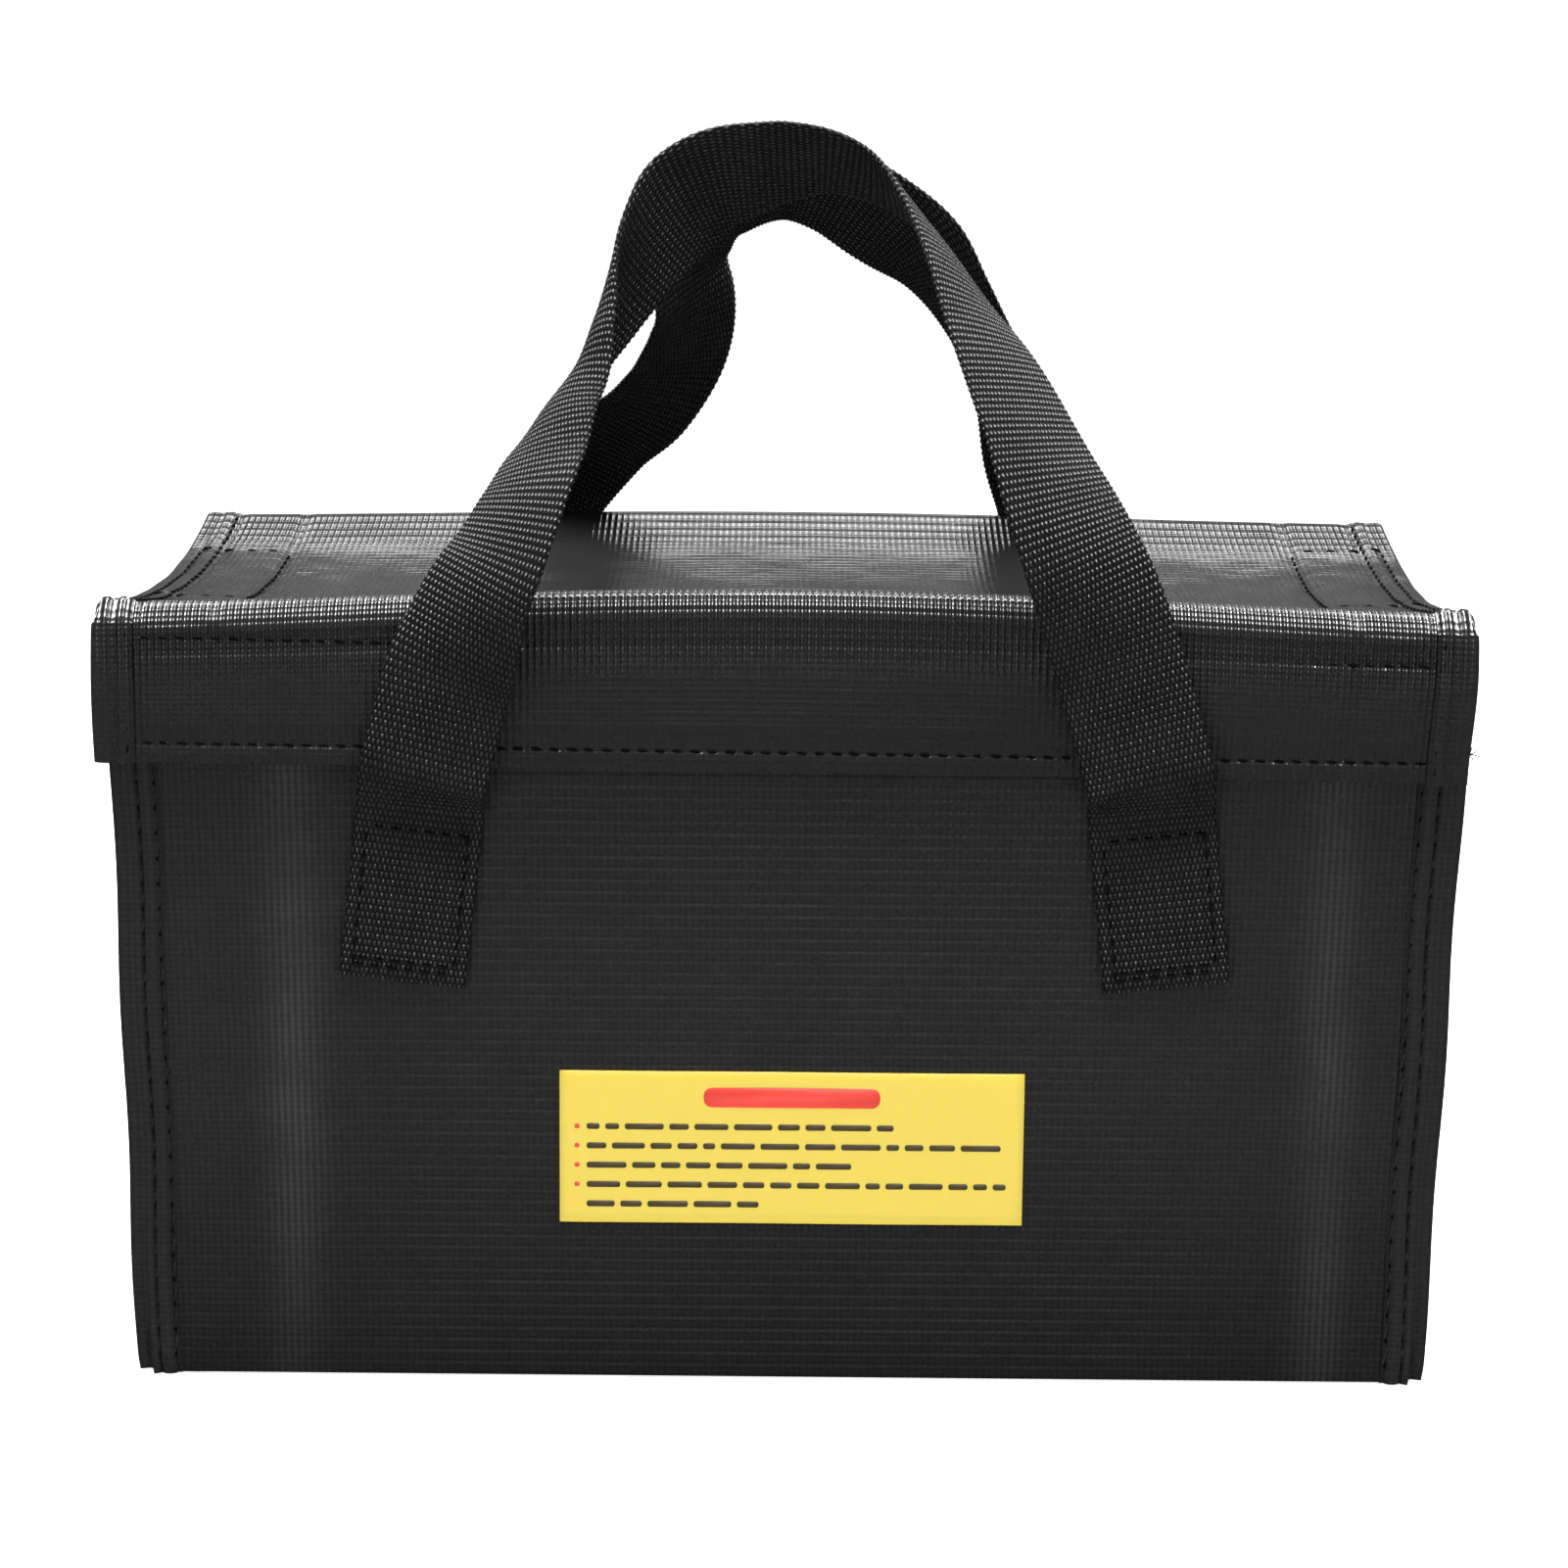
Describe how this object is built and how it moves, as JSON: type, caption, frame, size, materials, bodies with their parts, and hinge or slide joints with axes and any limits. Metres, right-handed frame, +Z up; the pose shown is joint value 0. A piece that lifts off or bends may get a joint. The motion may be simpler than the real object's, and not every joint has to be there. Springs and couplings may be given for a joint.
{
  "type": "battery safe bag",
  "caption": "Box-shaped fire-resistant storage bag with a flap lid, fold-in end flaps, two webbing carry handles and a plain warning-yellow label.",
  "frame": {"origin": "centre of the footprint, on the surface that the bag stands on", "axes": "+X along the bag's length, to the right seen from the front; +Y from the front wall towards the back wall, where the lid is sewn on; +Z up"},
  "size_m": [0.268, 0.1586, 0.2484],
  "materials": {
    "coated_cloth": "satin",
    "felt_interlining": "matte",
    "lining_cloth": "matte",
    "binding_cloth": "satin",
    "hook_tape": "matte",
    "loop_tape": "matte",
    "webbing": "matte",
    "thread": "satin",
    "label_film": "satin"
  },
  "bodies": {
    "box": {"back_interlining": "felt_interlining", "back_left_box_stitch": "thread", "back_left_seam_strip": "binding_cloth", "back_left_webbing_end": "webbing", "back_lining": "lining_cloth", "back_panel": "coated_cloth", "back_right_box_stitch": "thread", "back_right_seam_strip": "binding_cloth", "back_right_webbing_end": "webbing", "back_rim_binding": "binding_cloth", "bottom_interlining": "felt_interlining", "bottom_lining": "lining_cloth", "bottom_panel": "coated_cloth", "front_hook_tape": "hook_tape", "front_interlining": "felt_interlining", "front_left_box_stitch": "thread", "front_left_seam_strip": "binding_cloth", "front_left_webbing_end": "webbing", "front_lining": "lining_cloth", "front_panel": "coated_cloth", "front_right_box_stitch": "thread", "front_right_seam_strip": "binding_cloth", "front_right_webbing_end": "webbing", "front_rim_binding": "binding_cloth", "label": "label_film", "left_end_interlining": "felt_interlining", "left_end_lining": "lining_cloth", "left_end_panel": "coated_cloth", "right_end_interlining": "felt_interlining", "right_end_lining": "lining_cloth", "right_end_panel": "coated_cloth"},
    "lid": {"lid_front_loop_tape": "loop_tape", "lid_front_skirt": "coated_cloth", "lid_hinge_strip": "coated_cloth", "lid_left_corner_tab": "binding_cloth", "lid_left_loop_tape": "loop_tape", "lid_left_skirt": "coated_cloth", "lid_lining": "lining_cloth", "lid_right_corner_tab": "binding_cloth", "lid_right_loop_tape": "loop_tape", "lid_right_skirt": "coated_cloth", "lid_top_panel": "coated_cloth"},
    "left_flap": {"left_flap": "coated_cloth", "left_flap_hook_tape": "hook_tape"},
    "right_flap": {"right_flap": "coated_cloth", "right_flap_hook_tape": "hook_tape"},
    "front_handle": {"front_handle": "webbing"},
    "back_handle": {"back_handle": "webbing"}
  },
  "joints": [
    {"name": "lid_hinge", "type": "hinge", "parent": "box", "child": "lid", "pos_m": [0, 0.0668, 0.141], "axis": [-1, 0, 0], "range_deg": [0, 180]},
    {"name": "front_handle_swing", "type": "hinge", "parent": "box", "child": "front_handle", "pos_m": [0, -0.0679, 0.1137], "axis": [1, 0, 0], "range_deg": [0, 130]},
    {"name": "back_handle_swing", "type": "hinge", "parent": "box", "child": "back_handle", "pos_m": [0, 0.0679, 0.1137], "axis": [-1, 0, 0], "range_deg": [0, 130]},
    {"name": "left_flap_hinge", "type": "hinge", "parent": "box", "child": "left_flap", "pos_m": [-0.1253, 0, 0.1414], "axis": [0, 1, 0], "range_deg": [0, 80]},
    {"name": "right_flap_hinge", "type": "hinge", "parent": "box", "child": "right_flap", "pos_m": [0.1253, 0, 0.1414], "axis": [0, -1, 0], "range_deg": [0, 80]}
  ],
  "couplings": [
    {"joint": "front_handle_swing", "follows": "lid_hinge", "ratio": 0.72},
    {"joint": "back_handle_swing", "follows": "lid_hinge", "ratio": 0.72}
  ]
}
